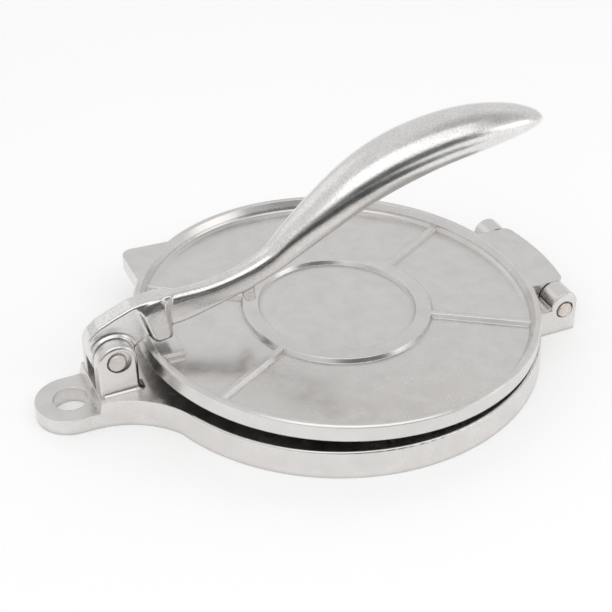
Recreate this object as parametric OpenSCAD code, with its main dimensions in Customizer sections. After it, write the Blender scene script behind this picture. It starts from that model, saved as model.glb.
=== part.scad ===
// Cast tortilla press: a round base with a hanging tongue, a ribbed upper plate
// hinged at the back, and a cast lever that bears on the plate at the front.
// X runs from the tongue (-X) to the plate hinge (+X), and Z is up from the table.
// Lengths along X are given from the pressing disc's centre.

/* [Base] */
// Diameter of the pressing disc at its foot
base_d = 200; // [198:0.5:206]
// Draft of the disc's wall, foot radius less top radius
base_draft = 0.8; // [0.4:0.1:1.2]
// Height of the pressing face above the table
base_h = 14; // [13:0.25:14.5]
// Rounding of the disc's outer top edge
edge_r = 1; // [0.5:0.1:1.5]
// Width of the foot ring under the disc's edge
foot_ring = 6; // [4:0.5:9]
// Depth of the recess under the disc
under_deep = 4; // [2:0.25:6]

/* [Tongue] */
// Distance of the hanging hole beyond the disc's edge
hole_off = 34.5; // [34:0.25:38]
// Diameter of the hanging hole
hole_d = 16.4; // [12:0.2:18]
// Half width of the tongue
tongue_w = 16.3; // [15.5:0.1:18]
// Height of the tongue's flat end
tongue_h = 8; // [7:0.2:10]
// Radius of the hollow fillets between the tongue and the disc
neck_r = 43; // [38:1:46]

/* [Lever joint] */
// Distance of the lever pin beyond the disc's edge
pivot_off = 14; // [13.5:0.1:14.5]
// Height of the lever pin above the pressing face
pivot_h = 16.2; // [16:0.1:17]
// Diameter of the lever pin
pin_d = 8.8; // [7:0.2:9.2]
// Thickness of each lever ear
ear_t = 6.2; // [5:0.2:8]
// Radius of the lever ears' round tops
ear_r = 9.6; // [9:0.1:10]
// Diameter of the open mouth round each end of the lever pin
mouth_d = 11.6; // [10:0.2:12]
// Depth of that mouth
mouth_deep = 2; // [1:0.2:3]
// Rounding of the lever ears' outer edges
ear_round = 1.8; // [1:0.1:2.4]

/* [Upper plate] */
// How far the upper plate's edge lies inside the foot of the disc
plate_set = 1.5; // [1:0.25:3]
// Height of the plate's rim
plate_h = 8.2; // [7.6:0.1:8.8]
// Thickness of the plate's floor
plate_floor = 2.6; // [2.2:0.1:3.2]
// Width of the rim at its top
rim_w = 3; // [2.4:0.1:3.6]
// Inner radius of the stiffening ring
ring_in = 38.6; // [35:0.2:40]
// Width of the stiffening ring
ring_w = 7; // [5:0.2:8]
// Height of the ring and ribs above the plate's floor
rib_h = 2.2; // [1.2:0.1:2.6]
// Width of a rib at its top
rib_w = 2.4; // [1.8:0.1:3.4]
// Angle of the ribs from the X axis
rib_a = 30.8; // [28:0.2:34]
// Height of the bearing pad above the plate's floor
pad_h = 2.8; // [2:0.1:3.4]
// Gap left between the closed plates
plate_gap = 0.4; // [0.3:0.05:0.8]
// How far the plate stands open
open_a = 2.1; // [1.8:0.05:2.3]

/* [Plate hinge] */
// Distance of the hinge pin beyond the disc's edge
hinge_off = 7; // [6.8:0.1:8]
// Height of the hinge pin below the pressing face
hinge_drop = 1.4; // [1:0.1:1.8]
// Diameter of the hinge pin
hinge_pin_d = 8; // [6:0.2:8.2]
// Width of the plate's hinge lug
lug_w = 53.6; // [50:0.2:56]
// Thickness of each hinge ear
hinge_ear_t = 11.4; // [10:0.2:14]
// Radius of the hinge ears' round tops
hinge_ear_r = 7.3; // [7:0.1:7.6]
// Rounding of the hinge ears' outer edges
hinge_round = 0.8; // [0.4:0.1:1.4]

/* [Lever] */
// Width of the lever's head above its ears
head_w = 9; // [8:0.2:9.6]
// Width of the head's hub between the ears
hub_w = 12.4; // [11:0.2:13]
// Width of the bearing foot
foot_w = 12.4; // [10:0.2:14]
// Half width of the grip at its thickest
grip_b = 14; // [11:0.5:15]
// Half thickness of the grip at its thickest
grip_a = 12.2; // [10:0.2:13]

/* [Fits] */
// Running clearance of the lever and the lug on their pins, on the radius
run_fit = 0.05; // [0.02:0.01:0.1]
// Side clearance between a turning lug and its ears
side_gap = 0.4; // [0.3:0.05:0.6]

/* [Hidden] */
smooth = $preview ? 64 : 128;
$fn = smooth;
eps = 0.01;
over = 1;

base_r = base_d / 2;
top_r = base_r - base_draft;
hole_x = base_r + hole_off;
pivot_x = base_r + pivot_off;
hinge_x = base_r + hinge_off;
plate_r = base_r - plate_set;

// Plates: levels of the closed upper plate
plate_z = base_h + plate_gap;
floor_z = plate_z + plate_floor;
rim_z = plate_z + plate_h;

// Lever pivot
pivot_z = base_h + pivot_h;
pin_r = pin_d / 2;
ear_in = hub_w / 2 + side_gap;
ear_out = ear_in + ear_t;
pin_inset = 0.3;
pin_chamfer = 0.6;
mouth_shift = [0.9, 1];
step_x = pivot_x + ear_r + 0.4;
step_lean = 1.2;
ear_foot_r = 2.5;

// Plate hinge
hinge_z = base_h - hinge_drop;
hinge_pin_r = hinge_pin_d / 2;
barrel_clear = 0.6;
barrel_r = hinge_off - barrel_clear;
lug_in = lug_w / 2;
lug_back = 8;
lug_round = 4;
lug_r = hinge_x + lug_back;
hinge_in = lug_in + side_gap;
hinge_out = hinge_in + hinge_ear_t;
hinge_ear_x = hinge_x - 0.6;
hinge_ear_z = hinge_z + 3;
hinge_mouth_d = hinge_pin_d + 1.4;
hinge_mouth_deep = 1.4;
hinge_mouth_shift = [-0.4, 0.6];
hinge_pin_proud = 0.4;
hinge_ear_fillet = 3;

// The model's origin is on the table, midway between the press's two ends
front_x = -(hole_x + tongue_w);
back_x = hinge_x + lug_back * cos(open_a) + (rim_z - hinge_z) * sin(open_a);
mid_x = (front_x + back_x) / 2;

metal = [0.80, 0.79, 0.77];
steel = [0.78, 0.74, 0.70];

// ---------- shared forms ----------

// Extrudes an outline drawn in X and Z across the press, from y0 to y1
module across(y0, y1) {
    translate([0, y1, 0]) rotate([90, 0, 0]) linear_extrude(y1 - y0) children();
}

// The same slice on both sides of the centre line
module both_sides(y0, y1) {
    across(y0, y1) children();
    across(-y1, -y0) children();
}

// A round bar across the press, with chamfered ends
module cross_pin(r, half, chamfer) {
    rotate([90, 0, 0]) rotate_extrude()
        polygon([[0, -half], [r - chamfer, -half], [r, chamfer - half],
                 [r, half - chamfer], [r - chamfer, half], [0, half]]);
}

// The web that a fillet of radius r leaves in a corner at the origin
module corner_web(r) {
    difference() {
        translate([-eps, -eps]) square(r + eps);
        translate([r, r]) circle(r);
    }
}

// A rectangle with round corners, from p to q
module round_box(p, q, r) {
    difference() {
        translate(p) square(q - p);
        for (sx = [0, 1], sy = [0, 1])
            translate([sx ? q[0] : p[0], sy ? q[1] : p[1]])
                mirror([sx, 0]) mirror([0, sy]) corner_web(r);
    }
}

// Ring and ribs that stiffen both castings, with sloping sides
module stiffeners(h, reach) {
    slope = h / 2;
    ring_out = ring_in + ring_w;
    rotate_extrude()
        polygon([[ring_in - slope, -eps], [ring_out + slope, -eps], [ring_out, h], [ring_in, h]]);
    for (a = [rib_a, 180 - rib_a, 180 + rib_a, -rib_a])
        rotate([0, 0, a]) translate([ring_in + ring_w / 2, 0, 0]) rotate([90, 0, 90])
            linear_extrude(reach - ring_in - ring_w / 2)
                polygon([[-rib_w / 2 - slope, -eps], [rib_w / 2 + slope, -eps],
                         [rib_w / 2, h], [-rib_w / 2, h]]);
}

// ---------- base ----------

// Disc with a drafted wall and a rounded top edge
module base_disc() {
    arc_x = top_r - edge_r;
    rotate_extrude()
        union() {
            polygon([[0, 0], [base_r, 0], [top_r, base_h - edge_r], [arc_x, base_h], [0, base_h]]);
            translate([arc_x, base_h - edge_r]) intersection() {
                circle(edge_r);
                square(edge_r);
            }
        }
}

// Plan of the tongue and of the hollow fillets that run it into the disc
module tongue_plan() {
    side = tongue_w + neck_r;
    neck_x = sqrt(pow(top_r + neck_r, 2) - side * side);
    difference() {
        polygon([[-neck_x, -side], [-neck_x, side], [0, 0]]);
        for (s = [-1, 1]) translate([-neck_x, s * side]) circle(neck_r);
    }
    translate([-hole_x, -tongue_w]) square([hole_x - neck_x + eps, 2 * tongue_w]);
    translate([-hole_x, 0]) circle(tongue_w);
}

// Tongue and neck: low at the hanging end, stepped up to the pressing face
module tongue() {
    intersection() {
        linear_extrude(base_h) tongue_plan();
        across(-base_r, base_r)
            polygon([[front_x - over, 0], [0, 0], [0, base_h], [-step_x, base_h],
                     [-step_x - step_lean, tongue_h], [front_x - over, tongue_h]]);
    }
}

// Upright ear at x, from z0 up to its round top about z1, with rounded outer edges
module ear(x, z0, z1, r, inner, outer, soft) {
    translate([x, 0, z1]) rotate([90, 0, 0]) rotate_extrude() difference() {
        translate([0, inner]) square([r, outer - inner]);
        translate([r, outer]) rotate([0, 0, 180]) corner_web(soft);
    }
    translate([x, 0, z0]) linear_extrude(z1 - z0) difference() {
        translate([-r, -outer]) square([2 * r, outer - inner]);
        translate([-r, -outer]) corner_web(soft);
        translate([r, -outer]) mirror([1, 0]) corner_web(soft);
    }
}

// Ear that holds one end of the lever pin, filleted into the pressing face
module lever_ear() {
    ear(-pivot_x, base_h - over, pivot_z, ear_r, ear_in, ear_out, ear_round);
    across(-ear_out + ear_round, -ear_in)
        translate([-pivot_x + ear_r, base_h]) corner_web(ear_foot_r);
    translate([-pivot_x - ear_r + ear_round, -ear_out, base_h]) rotate([90, 0, 90])
        linear_extrude(2 * (ear_r - ear_round)) mirror([1, 0]) corner_web(ear_foot_r);
}

// Hinge ear with the arm that carries it, flush with the pressing face
module hinge_ear() {
    left = hinge_ear_x - hinge_ear_r;
    root = base_r - hinge_out / 2;
    ear(hinge_ear_x, 0, hinge_ear_z, hinge_ear_r, hinge_in, hinge_out, hinge_round);
    across(-hinge_out, -hinge_in) translate([root, 0]) square([hinge_ear_x - root, base_h]);
    across(-hinge_out + hinge_round, -hinge_in) translate([left, base_h]) mirror([1, 0]) intersection() {
        corner_web(hinge_ear_fillet);
        square([hinge_ear_fillet, hinge_ear_z - base_h]);
    }
}

// Bore of a pin across the press, and the open mouth round each of its ends
module pin_seat(r, half, mouth, deep, shift) {
    rotate([90, 0, 0]) cylinder(h = 2 * half + 2 * over, r = r, center = true);
    both_sides(half - deep, half + over) translate(shift) circle(d = mouth);
}

module base() {
    color(metal) difference() {
        union() {
            base_disc();
            tongue();
            for (side = [0, 1]) mirror([0, side, 0]) {
                lever_ear();
                hinge_ear();
            }
        }
        translate([-hole_x, 0, -over]) cylinder(h = tongue_h + 2 * over, d = hole_d);
        translate([-pivot_x, 0, pivot_z]) pin_seat(pin_r, ear_out, mouth_d, mouth_deep, mouth_shift);
        translate([hinge_x, 0, hinge_z])
            pin_seat(hinge_pin_r, hinge_out, hinge_mouth_d, hinge_mouth_deep, hinge_mouth_shift);
        under_recess();
    }
}

// Recess under the disc, round a ring and ribs that stop short of the table
module under_recess() {
    short = 1;
    difference() {
        translate([0, 0, -over]) cylinder(h = under_deep + over, r = base_r - foot_ring);
        translate([0, 0, under_deep]) mirror([0, 0, 1])
            stiffeners(under_deep - short, base_r - foot_ring / 2);
    }
}

// ---------- upper plate ----------

// Pan of the plate, with a sloping rim wall and a filleted floor
module plate_pan() {
    lip = 0.8;
    wall_lean = 1.8;
    fil = 2.4;
    inner = plate_r - rim_w;
    foot = inner - wall_lean;
    rotate_extrude() difference() {
        polygon([[0, plate_z], [plate_r, plate_z], [plate_r, rim_z - lip], [plate_r - lip, rim_z],
                 [inner, rim_z], [foot, floor_z + fil], [foot - fil, floor_z + fil], [foot - fil, floor_z],
                 [0, floor_z]]);
        translate([foot - fil, floor_z + fil]) circle(fil);
    }
}

// Lifting tab on the rim, to one side of the tongue
module lift_tab() {
    tab_x = plate_r - 13.5;
    tab_y = plate_r - 20.9;
    tab_r = 6;
    raised = 1;
    translate([0, 0, plate_z + raised]) linear_extrude(plate_h - raised) difference() {
        round_box([-tab_x, tab_y / 2], [-tab_x / 2, tab_y], tab_r);
        circle(plate_r - rim_w / 2);
    }
}

// What a round corner of radius r takes off the lug's plan
module lug_corner(r) {
    y = lug_in - r;
    x = sqrt(pow(lug_r - r, 2) - y * y);
    reach = 3 * r;
    difference() {
        polygon([[x, y], [x, y + reach], [x + reach, y + reach], [x * (1 + reach / x), y * (1 + reach / x)]]);
        translate([x, y]) circle(r);
    }
}

// Lug behind the rim, wrapped round the hinge pin
module hinge_lug() {
    root = plate_r - lug_in / 2;
    translate([0, 0, plate_z]) linear_extrude(plate_h) difference() {
        intersection() {
            circle(lug_r);
            translate([root, -lug_in]) square([lug_r - root, lug_w]);
        }
        circle(plate_r - rim_w / 2);
        for (side = [0, 1]) mirror([0, side]) lug_corner(lug_round);
    }
    across(-lug_in, lug_in) {
        translate([hinge_x, hinge_z]) circle(barrel_r);
        translate([hinge_x - barrel_r, hinge_z]) square([2 * barrel_r, plate_z - hinge_z + eps]);
    }
}

// Pad on which the lever's foot bears
module bearing_pad() {
    pad_len = 16.5;
    pad_half = 11;
    intersection() {
        translate([-plate_r, -pad_half, floor_z - eps]) cube([pad_len, 2 * pad_half, pad_h + eps]);
        translate([0, 0, floor_z - over]) cylinder(h = pad_h + 2 * over, r = plate_r - rim_w / 2);
    }
}

// The plate as it lies closed, parallel to the pressing face
module closed_plate() {
    difference() {
        union() {
            plate_pan();
            translate([0, 0, floor_z]) stiffeners(rib_h, plate_r - rim_w);
            bearing_pad();
            lift_tab();
            hinge_lug();
        }
        translate([hinge_x, 0, hinge_z]) rotate([90, 0, 0])
            cylinder(h = lug_w + 2 * over, r = hinge_pin_r + run_fit, center = true);
    }
}

module upper_plate() {
    color(metal) translate([hinge_x, 0, hinge_z]) rotate([0, open_a, 0])
        translate([-hinge_x, 0, -hinge_z]) closed_plate();
}

// ---------- lever ----------
// Drawn round the lever pin: u runs back over the plate, v runs up.

// Stations of the arm and grip: u, v, half thickness, half width
arm_a = 5.6;
arm_b = head_w / 2;
spine = [
    [20, 14.9, 7.4, arm_b],
    [34, 15, 7.9, arm_b],
    [50, 17.4, 6.2, arm_b],
    [66, 21.5, arm_a, arm_b + 0.2],
    [80, 27.6, arm_a + 0.4, arm_b + 1],
    [92, 36.6, 0.66 * grip_a, 0.53 * grip_b],
    [108, 48, 0.81 * grip_a, 0.74 * grip_b],
    [124, 57.8, 0.94 * grip_a, 0.91 * grip_b],
    [142, 65.6, grip_a, grip_b],
    [163, 70.8, 0.98 * grip_a, grip_b],
    [184, 73, 0.87 * grip_a, 0.94 * grip_b],
    [203, 73.2, 0.62 * grip_a, 0.76 * grip_b],
    [216, 72.2, 0.32 * grip_a, 0.46 * grip_b],
    [222, 71, 0.02 * grip_a, 0.05 * grip_b]
];
ring_steps = 3;
ring_sides = 24;
spans = len(spine) - 1;
hub_r = ear_r + 0.8;

// Catmull-Rom blend of four stations
function blend(p0, p1, p2, p3, t) =
    0.5 * (2 * p1 + (p2 - p0) * t + (2 * p0 - 5 * p1 + 4 * p2 - p3) * t * t
           + (3 * p1 - p0 - 3 * p2 + p3) * t * t * t);
function station(k) = spine[min(max(k, 0), spans)];
function along(s) =
    let (k = min(floor(s), spans - 1))
    blend(station(k - 1), station(k), station(k + 1), station(k + 2), s - k);
// The section turns from an arm of this roundness over and under into an oval grip
arm_over = 0.72;
arm_under = 0.36;
oval = 0.95;
turn_from = 3;
turn_over = 4;
function power(s, arm) = arm + (oval - arm) * min(max(s - turn_from, 0), turn_over) / turn_over;
// Step along the spine that gives its direction
near = 0.05;
function signed_pow(c, e) = sign(c) * pow(abs(c), e);
function section(s) =
    let (p = along(s), d = along(min(s + near, spans)) - along(max(s - near, 0)),
         dir = [d[0], d[1]] / norm([d[0], d[1]]))
    [for (i = [0:ring_sides - 1])
        let (a = 360 * i / ring_sides, e = power(s, a < 180 ? arm_over : arm_under),
             n = p[2] * signed_pow(sin(a), e), y = p[3] * signed_pow(cos(a), e))
        [p[0] - dir[1] * n, y, p[1] + dir[0] * n]];

module arm_and_grip() {
    last = spans * ring_steps;
    rings = [for (k = [0:last]) section(k / ring_steps)];
    points = [for (r = rings) each r];
    sides = [for (k = [0:last - 1], i = [0:ring_sides - 1])
        let (j = (i + 1) % ring_sides)
        each [[k * ring_sides + i, (k + 1) * ring_sides + i, k * ring_sides + j],
              [k * ring_sides + j, (k + 1) * ring_sides + i, (k + 1) * ring_sides + j]]];
    start = [[for (i = [0:ring_sides - 1]) i]];
    end = [[for (i = [0:ring_sides - 1]) last * ring_sides + ring_sides - 1 - i]];
    polyhedron(points, concat(start, sides, end), convexity = 4);
}

// Side view of the head, from the round hub up and over to the foot, with a
// rounded hollow between hub and foot
module head_side() {
    hollow_r = 3;
    circle(hub_r);
    difference() {
        polygon([[-hub_r, 0], [-hub_r, 9.4], [-8.6, 12.6], [-5, 15.6], [2.5, 19], [11, 22.3],
                 [19, 23.4], [30, 24], [30, 12], [20, 6], [hub_r, 2], [hub_r, 0]]);
        translate([hub_r + hollow_r + 1, 0]) circle(hollow_r);
    }
}

// Boss on each side of the head, flaring into it
module hub_boss() {
    flare = 2;
    intersection() {
        rotate([90, 0, 0]) rotate_extrude()
            polygon([[0, -hub_w / 2], [hub_r, -hub_w / 2], [hub_r + flare, -head_w / 2],
                     [hub_r + flare, head_w / 2], [hub_r, hub_w / 2], [0, hub_w / 2]]);
        across(-hub_w, hub_w) head_side();
    }
}

// Foot that bears on the plate's pad, with bevelled edges
foot_side = [[12.9, 20.8], [17.4, 5.6], [20.3, 0.9], [22.4, -0.2], [28.8, 0.6],
             [29.6, 2], [29.5, 5.9], [28.7, 14.5], [27.5, 23.2]];
foot_mid = [22.8, 7.2];
foot_bevel = 2;
foot_shrink = 0.68;
module foot() {
    inset = [for (p = foot_side) foot_mid + (p - foot_mid) * foot_shrink];
    hull() {
        across(-foot_w / 2, foot_w / 2) polygon(inset);
        across(foot_bevel - foot_w / 2, foot_w / 2 - foot_bevel) polygon(foot_side);
    }
}

// Tapered nub that hangs from the arm's centre line and meets the plate's ring
module nub() {
    nub_half = 3.4;
    ring_u = pivot_x - ring_in - ring_w;
    arm_v = lookup(ring_u, [for (p = spine) [p[0], p[1]]]);
    across(-nub_half, nub_half)
        translate([ring_u, 0]) polygon([[-6.9, arm_v], [-2, 8.6], [2.8, 9.4], [1.6, arm_v]]);
}

module lever() {
    color(metal) translate([-pivot_x, 0, pivot_z]) difference() {
        union() {
            across(-head_w / 2, head_w / 2) head_side();
            hub_boss();
            foot();
            nub();
            arm_and_grip();
        }
        rotate([90, 0, 0]) cylinder(h = hub_w + 2 * over, r = pin_r + run_fit, center = true);
    }
}

// ---------- pins ----------

module lever_pin() {
    color(steel) translate([-pivot_x, 0, pivot_z]) cross_pin(pin_r, ear_out - pin_inset, pin_chamfer);
}

module hinge_pin() {
    color(steel) translate([hinge_x, 0, hinge_z])
        cross_pin(hinge_pin_r, hinge_out + hinge_pin_proud, pin_chamfer);
}

// The origin is on the table, midway along the press
module placed() {
    translate([-mid_x, 0, 0]) children();
}

placed() base();
placed() upper_plate();
placed() lever();
placed() lever_pin();
placed() hinge_pin();
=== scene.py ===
"""Looks of a cast tortilla press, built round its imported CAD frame."""
import math

import bmesh
import bpy
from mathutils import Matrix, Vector


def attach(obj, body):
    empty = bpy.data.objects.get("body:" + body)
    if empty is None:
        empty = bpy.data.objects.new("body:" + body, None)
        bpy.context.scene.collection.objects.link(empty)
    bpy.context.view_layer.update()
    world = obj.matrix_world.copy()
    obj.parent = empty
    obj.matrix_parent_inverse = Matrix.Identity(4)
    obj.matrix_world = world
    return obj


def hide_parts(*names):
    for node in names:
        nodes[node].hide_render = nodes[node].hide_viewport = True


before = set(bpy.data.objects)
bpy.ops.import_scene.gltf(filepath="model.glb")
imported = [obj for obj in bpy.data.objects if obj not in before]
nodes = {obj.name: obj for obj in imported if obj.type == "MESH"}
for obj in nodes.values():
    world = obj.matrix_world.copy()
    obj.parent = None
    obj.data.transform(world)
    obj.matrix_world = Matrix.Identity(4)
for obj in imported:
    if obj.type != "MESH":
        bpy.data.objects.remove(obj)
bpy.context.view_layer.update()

MM = 0.001

# Camera, fitted to the photograph's view: angles in degrees, lens and sensor in millimetres
VIEW_AZ = -24.165
VIEW_EL = 35.138
VIEW_DISTANCE = 691.03 * MM
VIEW_TARGET = Vector((16.566, 33.59, 0)) * MM
LENS = 79.19
SENSOR = 36


# ---------- materials ----------

class Tree:
    """A node tree, with short calls for the nodes used here."""

    def __init__(self, tree):
        self.tree = tree

    def add(self, kind, **values):
        node = self.tree.nodes.new(kind)
        for key, value in values.items():
            setattr(node, key, value)
        return node

    def link(self, source, target):
        self.tree.links.new(source, target)

    def span(self, source, low, high, start=0.3, end=0.7, curve="LINEAR"):
        """The source, with its range from start to end mapped to the one from low to high."""
        node = self.add("ShaderNodeMapRange", interpolation_type=curve)
        node.inputs["From Min"].default_value = start
        node.inputs["From Max"].default_value = end
        node.inputs["To Min"].default_value = low
        node.inputs["To Max"].default_value = high
        self.link(source, node.inputs["Value"])
        return node.outputs["Result"]

    def math(self, operation, first, second):
        node = self.add("ShaderNodeMath", operation=operation)
        for socket, value in zip(node.inputs, (first, second)):
            if isinstance(value, (int, float)):
                socket.default_value = value
            else:
                self.link(value, socket)
        return node.outputs["Value"]

    def dot(self, first, second):
        node = self.add("ShaderNodeVectorMath", operation="DOT_PRODUCT")
        for socket, value in zip(node.inputs, (first, second)):
            if isinstance(value, Vector):
                socket.default_value = value
            else:
                self.link(value, socket)
        return node.outputs["Value"]


class Shader(Tree):
    """A material's node tree."""

    def __init__(self, name):
        self.material = bpy.data.materials.new(name)
        self.material.use_nodes = True
        super().__init__(self.material.node_tree)
        self.surface = self.tree.nodes["Principled BSDF"]
        self.place = self.add("ShaderNodeTexCoord").outputs["Object"]

    def into(self, socket, value):
        """Sets one of the surface's own sockets, or links a node to it."""
        target = self.surface.inputs[socket]
        if isinstance(value, (int, float, tuple)):
            target.default_value = value
        else:
            self.link(value, target)

    def noise(self, scale, detail=3.0, roughness=0.55):
        node = self.add("ShaderNodeTexNoise")
        node.inputs["Scale"].default_value = scale
        node.inputs["Detail"].default_value = detail
        node.inputs["Roughness"].default_value = roughness
        self.link(self.place, node.inputs["Vector"])
        return node.outputs["Fac"]

    def mix(self, factor, first, second):
        node = self.add("ShaderNodeMix", data_type="RGBA")
        colours = [s for s in node.inputs if s.type == "RGBA"]
        self.link(factor, node.inputs["Factor"])
        for socket, value in zip(colours, (first, second)):
            if isinstance(value, tuple):
                socket.default_value = (*value, 1)
            else:
                self.link(value, socket)
        return next(s for s in node.outputs if s.type == "RGBA")

    def rounded(self, radius):
        node = self.add("ShaderNodeBevel", samples=6)
        node.inputs["Radius"].default_value = radius
        return node.outputs["Normal"]

    def edges(self, radius):
        """0 on open faces, towards 1 on edges."""
        facing = self.add("ShaderNodeNewGeometry").outputs["Normal"]
        return self.span(self.dot(self.rounded(radius), facing), 0, 1, start=0.995, end=0.8)

    def hollows(self, distance):
        """1 in the open, towards 0 in crevices."""
        node = self.add("ShaderNodeAmbientOcclusion", samples=8)
        node.inputs["Distance"].default_value = distance
        return node.outputs["AO"]

    def bump(self, height, distance, strength, normal):
        node = self.add("ShaderNodeBump")
        node.inputs["Strength"].default_value = strength
        node.inputs["Distance"].default_value = distance
        self.link(height, node.inputs["Height"])
        self.link(normal, node.inputs["Normal"])
        return node.outputs["Normal"]


# Cast metal: noise scales from broad clouds to sandy grain, the depths of the last two, how far
# its edges, painted lighter as wear and as highlight, reach and how much smoother they are, and
# the shades of its dark grains and of the shade painted into its hollows
CLOUD, MOTTLE, DENTS, SAND = 22, 110, 160, 1100
DENT_DEPTH = 0.08 * MM
SAND_DEPTH = 0.1 * MM
EDGE_REACH = 0.5 * MM
EDGE_POLISH = 0.06
GRIT_SHADE = 0.3
PAINTED_SHADE_TONE = 0.45


def shaded(colour, share):
    """The colour with only a share of its brightness."""
    return tuple(share * part for part in colour)


def cast_metal(name, dark, light, wear_and_highlight, gloss, dents, sand, speckle, painted_shade, round_r):
    """Cast aluminium: mottled and grained, with edges painted lighter as wear and painted
    highlight, and painted shade darkening its hollows.

    gloss is the lowest and highest roughness, dents and sand are bump strengths, and speckle is
    the strength of the dark grains. painted_shade is the reach of the shade painted into hollows,
    its greatest share and the openness where it ends."""
    s = Shader(name)
    mottle = s.noise(MOTTLE)
    cloud = s.noise(CLOUD, detail=2)
    grain = s.noise(SAND, detail=2, roughness=0.7)
    edge = s.edges(EDGE_REACH)
    # Painted shade: the colour is darkened where ambient occlusion finds hollows and parts close
    # by
    reach, most, open_from = painted_shade
    painted_shade_mask = s.span(s.hollows(reach), most, 0, start=0.1, end=open_from)

    tone = s.mix(s.span(mottle, 0, 1), dark, light)
    grit = s.span(grain, speckle, 0, start=0.36, end=0.56)
    tone = s.mix(grit, tone, shaded(dark, GRIT_SHADE))
    # Edges painted lighter: partly wear, partly a painted highlight
    tone = s.mix(edge, tone, wear_and_highlight)
    s.into("Base Color", s.mix(painted_shade_mask, tone, shaded(dark, PAINTED_SHADE_TONE)))
    s.into("Metallic", 1)

    blotches = s.math("ADD", s.math("MULTIPLY", mottle, 0.6), s.math("MULTIPLY", cloud, 0.4))
    polish = s.math("MULTIPLY", edge, EDGE_POLISH)
    s.into("Roughness", s.math("SUBTRACT", s.span(blotches, *gloss), polish))
    dented = s.bump(s.noise(DENTS), DENT_DEPTH, dents, s.rounded(round_r))
    s.into("Normal", s.bump(grain, SAND_DEPTH, sand, dented))
    return s.material


def bar_steel(name):
    """Cropped steel bar: mottled, slightly warm and finely rough."""
    s = Shader(name)
    mottle = s.noise(400, detail=4)
    s.into("Base Color", s.mix(s.span(mottle, 0, 1), (0.62, 0.56, 0.52), (0.8, 0.75, 0.71)))
    s.into("Metallic", 1)
    s.into("Roughness", s.span(mottle, 0.28, 0.45))
    s.into("Normal", s.bump(s.noise(900), 0.05 * MM, 0.5, s.rounded(0.3 * MM)))
    return s.material


def finish_with(obj, material):
    obj.data.materials.clear()
    obj.data.materials.append(material)


# ---------- the lever ----------
# Drawn round its pin, in millimetres: u runs back over the plate, v runs up and y across.
# Every half is half of a width across.

PIVOT = Vector((-96.281, 0, 30.2))
BORE_R = 4.45
HUB_R = 10.4
HUB_HALF = 6.2
HUB_RIM = 0.6
HUB_FLARE = 2.4
ON_AXIS = 0.01  # in place of a radius of 0, which would lay a ring's points on each other
HEAD_HALF = 4.5
FOOT_HALF = 6.2
NUB_HALF = 3.4
GRIP_A = 12.2
GRIP_B = 14

# Stations of the arm and grip: u, v, half thickness, half width
SPINE = [
    (20, 14.9, 7.4, HEAD_HALF),
    (34, 15, 7.9, HEAD_HALF),
    (50, 17.4, 6.2, HEAD_HALF),
    (66, 21.5, 5.6, HEAD_HALF + 0.2),
    (80, 27.6, 6, HEAD_HALF + 1),
    (92, 36.6, 0.66 * GRIP_A, 0.53 * GRIP_B),
    (108, 48, 0.81 * GRIP_A, 0.74 * GRIP_B),
    (124, 57.8, 0.94 * GRIP_A, 0.91 * GRIP_B),
    (142, 65.6, GRIP_A, GRIP_B),
    (163, 70.8, 0.98 * GRIP_A, GRIP_B),
    (184, 73, 0.87 * GRIP_A, 0.94 * GRIP_B),
    (203, 73.2, 0.62 * GRIP_A, 0.76 * GRIP_B),
    (216, 72.2, 0.32 * GRIP_A, 0.46 * GRIP_B),
    (222, 71, 0.02 * GRIP_A, 0.05 * GRIP_B),
]

# How round the section is, from 0 for a rectangle to 1 for an ellipse: the arm's upper and lower
# half, and the grip. The arm starts to turn into the grip at one station, over the next few
ARM_OVER, ARM_UNDER, OVAL = 0.72, 0.36, 0.95
TURN_FROM, TURN_OVER = 3, 4

# Side views as (u, v)
HEAD_SIDE = [
    (-10.4, -2), (-10.4, 9.4), (-8.6, 12.6), (-5, 15.6), (2.5, 19), (11, 22.3), (19, 23.4),
    (30, 24), (30, 12), (20, 6), (14.5, 3.2), (10.4, 1), (6, -2),
]
FOOT_SIDE = [
    (12.9, 20.8), (17.4, 5.6), (20.3, 0.9), (22.4, -0.2), (28.8, 0.6), (29.6, 2), (29.5, 5.9),
    (28.7, 14.5), (27.5, 23.2),
]
FOOT_MID = Vector((22.8, 7.2))
FOOT_BEVEL = 2
FOOT_SHRINK = 0.68
FOOT_TOP = [(14.4, 20.2), (24, 23.2)]
FOOT_TOP_HALF = HEAD_HALF + 0.7
NUB_SIDE = [(61.5, 22.5), (66.4, 8.6), (71.2, 9.4), (70, 22.5)]
SKIN_VOXEL = 0.55 * MM


def to_world(u, v, y):
    return (PIVOT + Vector((u, y, v))) * MM


def new_object(name, mesh):
    obj = bpy.data.objects.new(name, mesh)
    bpy.context.scene.collection.objects.link(obj)
    return obj


def mesh_from(name, points, faces):
    mesh = bpy.data.meshes.new(name)
    mesh.from_pydata([to_world(*p) for p in points], [], faces)
    mesh.update()
    return new_object(name, mesh)


def modify(obj, kind, **values):
    """Adds a modifier, applies it and leaves the result as the object's mesh."""
    modifier = obj.modifiers.new(kind, kind)
    for key, value in values.items():
        setattr(modifier, key, value)
    graph = bpy.context.evaluated_depsgraph_get()
    mesh = bpy.data.meshes.new_from_object(obj.evaluated_get(graph))
    obj.modifiers.clear()
    obj.data = mesh
    return obj


def mend_normals(obj):
    """Turns every face outwards."""
    form = bmesh.new()
    form.from_mesh(obj.data)
    bmesh.ops.recalc_face_normals(form, faces=form.faces)
    form.to_mesh(obj.data)
    form.free()


def soften(obj, width, segments, angle):
    """Rounds every edge that turns by more than the angle, in degrees."""
    return modify(obj, "BEVEL", width=width * MM, segments=segments, limit_method="ANGLE",
                  angle_limit=math.radians(angle))


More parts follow.
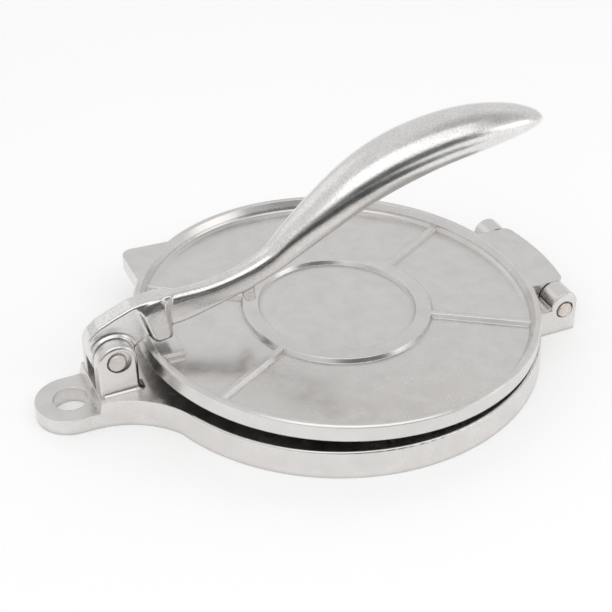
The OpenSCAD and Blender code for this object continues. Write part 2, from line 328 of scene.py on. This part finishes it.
def slab(name, side, half, bevel, segments=4):
    """A side view swept across the lever, with every edge rounded."""
    n = len(side)
    points = [(u, v, -half) for u, v in side] + [(u, v, half) for u, v in side]
    faces = [tuple(range(n)), tuple(range(2 * n - 1, n - 1, -1))]
    faces += [(i, n + i, n + (i + 1) % n, (i + 1) % n) for i in range(n)]
    obj = mesh_from(name, points, faces)
    mend_normals(obj)
    return soften(obj, bevel, segments, angle=50)


def tube_faces(rings, sides):
    """Faces between rings of points, with both ends closed."""
    faces = []
    for k in range(rings - 1):
        low, high = k * sides, (k + 1) * sides
        for i in range(sides):
            j = (i + 1) % sides
            faces.append((low + i, low + j, high + j, high + i))
    last = (rings - 1) * sides
    return faces + [tuple(range(sides)), tuple(range(last, last + sides))]


def tapered_foot():
    """The foot's block: full width low down and nearly flush with the head at its top."""
    face = [FOOT_MID + (Vector(p) - FOOT_MID) * FOOT_SHRINK for p in FOOT_SIDE]
    rows = [
        (FOOT_SIDE, FOOT_HALF - FOOT_BEVEL),
        (face, FOOT_HALF),
        (FOOT_TOP, FOOT_TOP_HALF),
    ]
    form = bmesh.new()
    for side, half in rows:
        for u, v in side:
            for y in (-half, half):
                form.verts.new(to_world(u, v, y))
    hull = bmesh.ops.convex_hull(form, input=form.verts)
    bmesh.ops.delete(form, geom=hull["geom_interior"], context="VERTS")
    mesh = bpy.data.meshes.new("foot")
    form.to_mesh(mesh)
    form.free()
    return soften(new_object("foot", mesh), width=0.9, segments=3, angle=28)


def lathe(name, profile, sides=96):
    """A profile of (radius, y) turned round the lever's pin."""
    angles = [2 * math.pi * k / sides for k in range(sides)]
    points = [(r * math.cos(a), r * math.sin(a), y) for r, y in profile for a in angles]
    obj = mesh_from(name, points, tube_faces(len(profile), sides))
    mend_normals(obj)
    return obj


def blend(p0, p1, p2, p3, t):
    """Catmull-Rom curve through four stations."""
    point = []
    for a, b, c, d in zip(p0, p1, p2, p3):
        square, cube = 2 * a - 5 * b + 4 * c - d, 3 * b - a - 3 * c + d
        point.append(0.5 * (2 * b + (c - a) * t + square * t * t + cube * t ** 3))
    return point


def along(s):
    """The values of the arm at s, counted in stations."""
    last = len(SPINE) - 1
    k = min(int(s), last - 1)
    stations = [SPINE[min(max(k + i, 0), last)] for i in (-1, 0, 1, 2)]
    return blend(*stations, s - k)


def section(s, sides):
    """One ring of the arm or grip, boxy near the head and oval in the grip."""
    last = len(SPINE) - 1
    u, v, thick, wide = along(s)
    step = 0.05
    ahead, behind = along(min(s + step, last)), along(max(s - step, 0))
    du, dv = ahead[0] - behind[0], ahead[1] - behind[1]
    size = math.hypot(du, dv)
    share = min(max(s - TURN_FROM, 0), TURN_OVER) / TURN_OVER
    ring = []
    for i in range(sides):
        a = 2 * math.pi * i / sides
        arm = ARM_OVER if math.sin(a) > 0 else ARM_UNDER
        power = arm + (OVAL - arm) * share
        n = thick * math.copysign(abs(math.sin(a)) ** power, math.sin(a))
        y = wide * math.copysign(abs(math.cos(a)) ** power, math.cos(a))
        ring.append((u - dv / size * n, v + du / size * n, y))
    return ring


def arm_and_grip(steps=10, sides=72):
    """The bar from the head to the grip's end, as rings along the stations."""
    last = (len(SPINE) - 1) * steps
    points = [p for k in range(last + 1) for p in section(k / steps, sides)]
    obj = mesh_from("arm", points, tube_faces(last + 1, sides))
    mend_normals(obj)
    return obj


def join(name, parts):
    """One object with the meshes of all parts, which it uses up."""
    form = bmesh.new()
    for part in parts:
        form.from_mesh(part.data)
        bpy.data.objects.remove(part)
    mesh = bpy.data.meshes.new(name)
    form.to_mesh(mesh)
    form.free()
    return new_object(name, mesh)


def disc_profile():
    """Half of the hub's disc, with its rim taken off."""
    return [(ON_AXIS, HUB_HALF), (HUB_R - HUB_RIM, HUB_HALF), (HUB_R, HUB_HALF - HUB_RIM)]


def boss_profile(steps=6):
    """Half of the hub's boss, rounded at its rim and flaring into the side of the head."""
    deep = HUB_HALF - HEAD_HALF - HUB_RIM
    out = [
        (ON_AXIS, HUB_HALF),
        (HUB_R - HUB_RIM, HUB_HALF),
        (HUB_R - HUB_RIM / 3, HUB_HALF - HUB_RIM / 3),
        (HUB_R, HUB_HALF - HUB_RIM),
    ]
    for i in range(steps + 1):
        a = math.radians(90 * i / steps)
        r = HUB_R + HUB_FLARE * (1 - math.cos(a))
        out.append((r, HUB_HALF - HUB_RIM - deep * math.sin(a)))
    return out


def both_halves(half):
    """A profile from one side of the lever carried on to the other side."""
    return half + [(r, -y) for r, y in reversed(half)]


def carve(obj, operation, tool):
    """A boolean that uses the tool up."""
    modify(obj, "BOOLEAN", operation=operation, object=tool, solver="EXACT")
    bpy.data.objects.remove(tool)
    return obj


def make_lever():
    """The cast lever as one skin: grip, arm, head, hub, foot and nub run into each other."""
    hub = lathe("hub", both_halves(boss_profile()))
    keep = slab("hub_keep", HEAD_SIDE, HUB_HALF + 1, bevel=0.2, segments=1)
    parts = [
        arm_and_grip(),
        slab("head", HEAD_SIDE, HEAD_HALF, bevel=1.1),
        tapered_foot(),
        slab("nub", NUB_SIDE, NUB_HALF, bevel=0.8),
        lathe("disc", both_halves(disc_profile())),
        carve(hub, "INTERSECT", keep),
    ]
    skin = join("lever_casting", parts)
    modify(skin, "REMESH", mode="VOXEL", voxel_size=SKIN_VOXEL, use_smooth_shade=True)
    modify(skin, "SMOOTH", factor=0.5, iterations=5)
    past = HUB_HALF + 2
    carve(skin, "DIFFERENCE", lathe("bore", [(BORE_R, past), (BORE_R, -past)]))
    for face in skin.data.polygons:
        face.use_smooth = True
    return skin


# ---------- the ear feet ----------
# The fillets at the foot of each lever ear, carried on round the ear's rear corner.

EAR_R = 9.6
EAR_OUT = 12.8
EAR_ROUND = 1.8
EAR_FOOT_R = 2.5
EAR_FOOT_SUNK = 0.4
BASE_H = 14


def fillet_profile(steps=10):
    """The fillet's hollow profile as (radius, z), a little sunk into the ear and the base."""
    inner, outer = EAR_ROUND - EAR_FOOT_SUNK, EAR_ROUND + EAR_FOOT_R
    out = [(inner, BASE_H - EAR_FOOT_SUNK), (outer, BASE_H - EAR_FOOT_SUNK)]
    for k in range(steps + 1):
        a = math.radians(90 * k / steps)
        r = EAR_ROUND + EAR_FOOT_R * (1 - math.sin(a))
        out.append((r, BASE_H + EAR_FOOT_R * (1 - math.cos(a))))
    return out + [(inner, BASE_H + EAR_FOOT_R)]


def ear_foot(name, side, turns=14):
    """A quarter turn of the fillet's profile round the ear's upright corner."""
    profile = fillet_profile()
    corner = Vector((PIVOT.x + EAR_R - EAR_ROUND, EAR_OUT - EAR_ROUND, 0))
    points = []
    for k in range(turns + 1):
        a = math.radians(90 * k / turns)
        for r, z in profile:
            x, y = corner.x + r * math.cos(a), corner.y + r * math.sin(a)
            points.append(Vector((x, side * y, z)) * MM)
    mesh = bpy.data.meshes.new(name)
    mesh.from_pydata(points, [], tube_faces(turns + 1, len(profile)))
    piece = new_object(name, mesh)
    mend_normals(piece)
    return piece


# ---------- stage, lights and camera ----------

# The room is evenly bright but for these darker sides: azimuth, elevation, share of the light
# that is left at the middle, and the angles where the fade ends and starts
ROOM_LIGHT = 0.76
DARK_SIDES = [
    (6, 0, 0.14, 22, 42),
    (75, 58, 0.65, 10, 38),
]

# The table is plain white and faintly lit
TABLE_GLOW = 0.2
FLOOR_REACH = 6

# A black card lies on the table in front of the press, so that the metal has something dark to
# reflect. Only reflections show it. Two opposite corners and its height, in metres
CARD_LOW = (-0.7, -2)
CARD_HIGH = (0.2, -0.145)
CARD_Z = 0.002

# Softboxes: azimuth, elevation, distance and size in metres, power in watts
SOFTBOXES = {
    "softbox": (-4, 55, 1.5, (2.0, 1.4), 5.4),
    "side_softbox": (54, 14, 1.3, (0.7, 0.5), 0.9),
    "back_softbox": (-148, 34, 1.4, (0.9, 0.6), 0.3),
}


def toward(azimuth, elevation):
    """The unit vector from the part to a place given in degrees; azimuth 0 is the near side."""
    az, el = math.radians(azimuth), math.radians(elevation)
    return Vector((math.cos(el) * math.sin(az), -math.cos(el) * math.cos(az), math.sin(el)))


def stand(name, data, place, away):
    """Places a lamp or camera that faces back along a direction."""
    obj = new_object(name, data)
    obj.location = place
    obj.rotation_euler = away.to_track_quat("Z", "Y").to_euler()
    return obj


def flat(name, low, high, z):
    """A level rectangle of the stage, from one corner to the other."""
    (x0, y0), (x1, y1) = low, high
    mesh = bpy.data.meshes.new(name)
    mesh.from_pydata([(x0, y0, z), (x1, y0, z), (x1, y1, z), (x0, y1, z)], [], [(0, 1, 2, 3)])
    sheet = new_object(name, mesh)
    return sheet


def make_floor():
    floor = flat("floor", (-FLOOR_REACH, -FLOOR_REACH), (FLOOR_REACH, FLOOR_REACH), 0)
    s = Shader("pale_floor")
    s.into("Base Color", s.mix(s.noise(3), (0.93, 0.93, 0.93), (0.95, 0.95, 0.95)))
    s.into("Roughness", 0.9)
    s.into("Specular IOR Level", 0.1)
    s.into("Emission Color", (1, 1, 1, 1))
    s.into("Emission Strength", TABLE_GLOW)
    finish_with(floor, s.material)


def make_card():
    card = flat("black_card", CARD_LOW, CARD_HIGH, CARD_Z)
    s = Shader("black_paper")
    s.into("Base Color", s.mix(s.noise(90), (0.03, 0.03, 0.03), (0.05, 0.05, 0.05)))
    s.into("Roughness", 0.9)
    finish_with(card, s.material)
    card.visible_camera = False
    card.visible_diffuse = False
    card.visible_shadow = False


def make_room():
    """The world's light: one brightness all round, faded towards the dark sides."""
    world = bpy.data.worlds.new("studio")
    world.use_nodes = True
    room = Tree(world.node_tree)
    outward = room.add("ShaderNodeTexCoord").outputs["Generated"]
    level = ROOM_LIGHT
    for azimuth, elevation, left, inner, outer in DARK_SIDES:
        near = room.dot(outward, toward(azimuth, elevation))
        start, end = math.cos(math.radians(outer)), math.cos(math.radians(inner))
        fade = room.span(near, 1, left, start=start, end=end, curve="SMOOTHSTEP")
        level = room.math("MULTIPLY", fade, level)
    background = room.tree.nodes["Background"]
    background.inputs["Color"].default_value = (1, 1, 1, 1)
    room.link(level, background.inputs["Strength"])
    bpy.context.scene.world = world


def make_lights():
    for name, (azimuth, elevation, distance, size, power) in SOFTBOXES.items():
        light = bpy.data.lights.new(name, "AREA")
        light.shape = "RECTANGLE"
        light.size, light.size_y = size
        light.energy = power
        away = toward(azimuth, elevation)
        stand(name, light, away * distance, away)


def make_camera():
    camera = bpy.data.cameras.new("view")
    camera.lens = LENS
    camera.sensor_width = SENSOR
    away = toward(VIEW_AZ, VIEW_EL)
    bpy.context.scene.camera = stand("view", camera, VIEW_TARGET + away * VIEW_DISTANCE, away)


# ---------- the press ----------

# Both metals have shade painted into their hollows and edges painted lighter, partly as highlight
plate_metal = cast_metal(
    "cast_aluminium_satin",
    dark=(0.715, 0.695, 0.68), light=(0.785, 0.765, 0.75), wear_and_highlight=(0.96, 0.95, 0.94),
    gloss=(0.19, 0.32), dents=0.22, sand=0.0, speckle=0.0,
    painted_shade=(2.5 * MM, 0.8, 0.95), round_r=0.6 * MM)
# The lever's painted shade reaches 60 mm, so it also darkens its lower sides where the plate lies
# below
lever_metal = cast_metal(
    "cast_aluminium_tumbled",
    dark=(0.80, 0.79, 0.78), light=(0.88, 0.87, 0.86), wear_and_highlight=(0.96, 0.96, 0.95),
    gloss=(0.17, 0.25), dents=0.35, sand=0.35, speckle=0.2,
    painted_shade=(60 * MM, 0.75, 0.95), round_r=0.5 * MM)
finish_with(nodes["base"], plate_metal)
finish_with(nodes["upper_plate"], plate_metal)
lever = make_lever()
finish_with(lever, lever_metal)
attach(lever, "lever")
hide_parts("lever")
for name, side in (("ear_foot_near", -1), ("ear_foot_far", 1)):
    foot = ear_foot(name, side)
    finish_with(foot, plate_metal)
    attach(foot, "base")
for name in ("lever_pin", "hinge_pin"):
    finish_with(nodes[name], bar_steel(name + "_steel"))

make_floor()
make_card()
make_room()
make_lights()
make_camera()
bpy.context.scene.view_settings.view_transform = "Standard"
